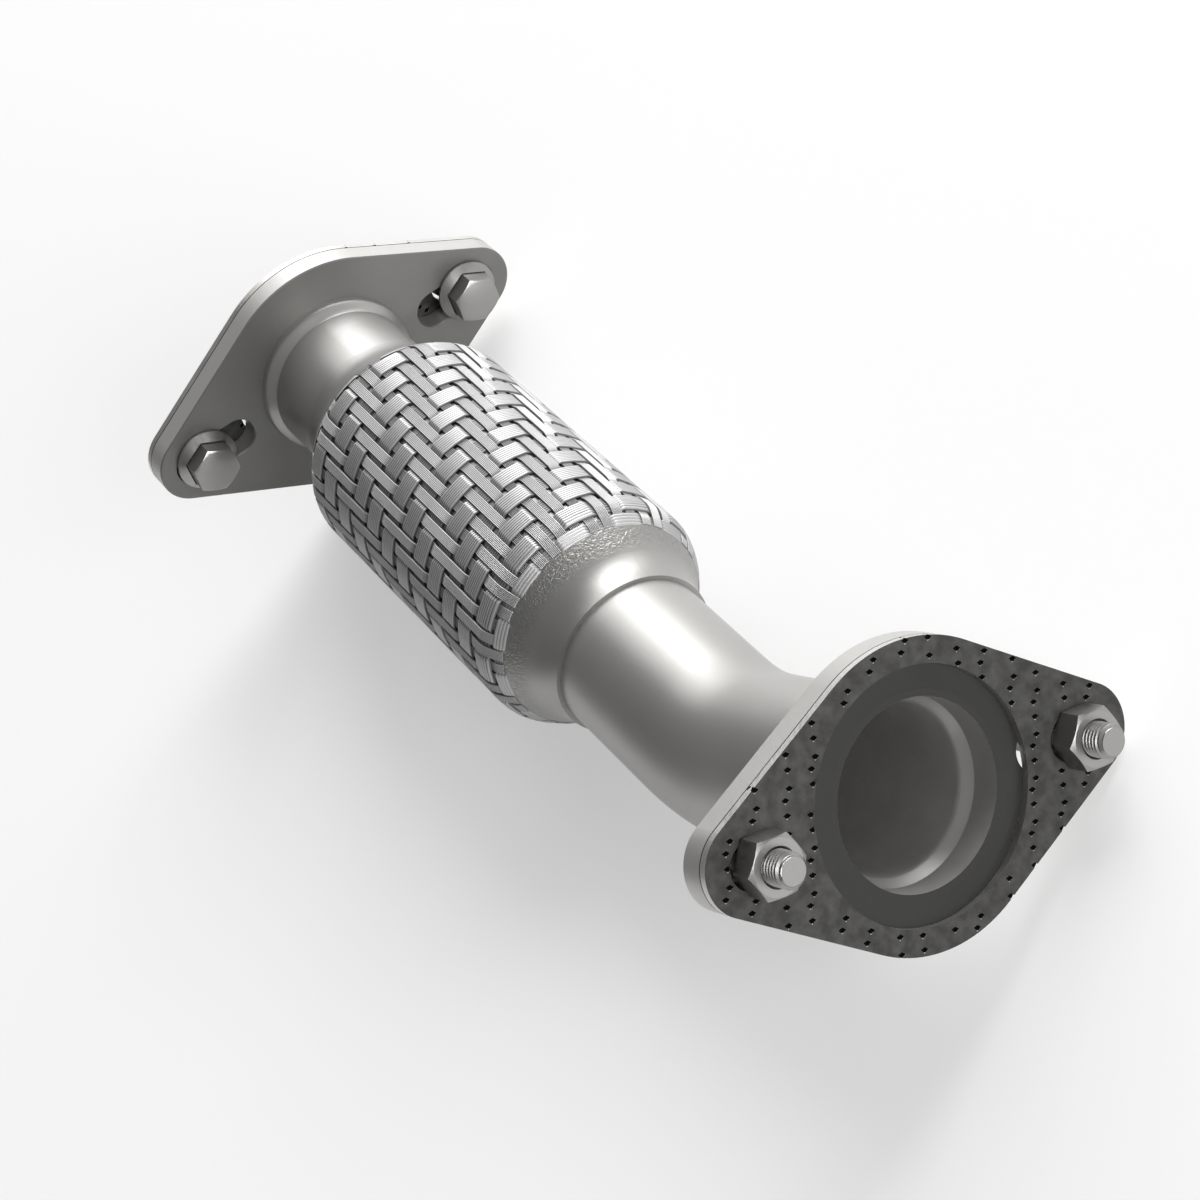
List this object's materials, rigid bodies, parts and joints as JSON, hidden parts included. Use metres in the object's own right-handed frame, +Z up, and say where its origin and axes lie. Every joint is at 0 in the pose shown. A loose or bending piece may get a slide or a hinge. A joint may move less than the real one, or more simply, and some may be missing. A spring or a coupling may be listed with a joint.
{
  "type": "exhaust front pipe",
  "caption": "Exhaust front pipe with a braided flexible section, a bent outlet leg, two-lobed flanges, gaskets, flange bolts and nuts.",
  "frame": {"origin": "centre of the inlet flange's outer face", "axes": "+X along the flexible section towards the outlet, level; +Z up, as the pipe lies at rest on a floor"},
  "size_m": [0.3735, 0.1467, 0.1087],
  "materials": {
    "tube_steel": "satin stainless tube",
    "flange_steel": "plain cut plate, satin",
    "braid_wire": "bright stainless wire",
    "bellows_steel": "thin bright sheet",
    "gasket_sheet": "grey graphite sheet on a tanged steel core",
    "bolt_steel": "plain steel"
  },
  "bodies": {
    "root": {"bellows": "bellows_steel", "inlet_bolt_1": "bolt_steel", "inlet_bolt_2": "bolt_steel", "inlet_end_cap": "tube_steel", "inlet_flange": "flange_steel", "inlet_gasket": "gasket_sheet", "inlet_nut_1": "bolt_steel", "inlet_nut_2": "bolt_steel", "inlet_pipe": "tube_steel", "liner": "bellows_steel", "outer_braid": "braid_wire", "outlet_bolt_1": "bolt_steel", "outlet_bolt_2": "bolt_steel", "outlet_end_cap": "tube_steel", "outlet_flange": "flange_steel", "outlet_gasket": "gasket_sheet", "outlet_nut_1": "bolt_steel", "outlet_nut_2": "bolt_steel", "outlet_pipe": "tube_steel"}
  },
  "joints": []
}
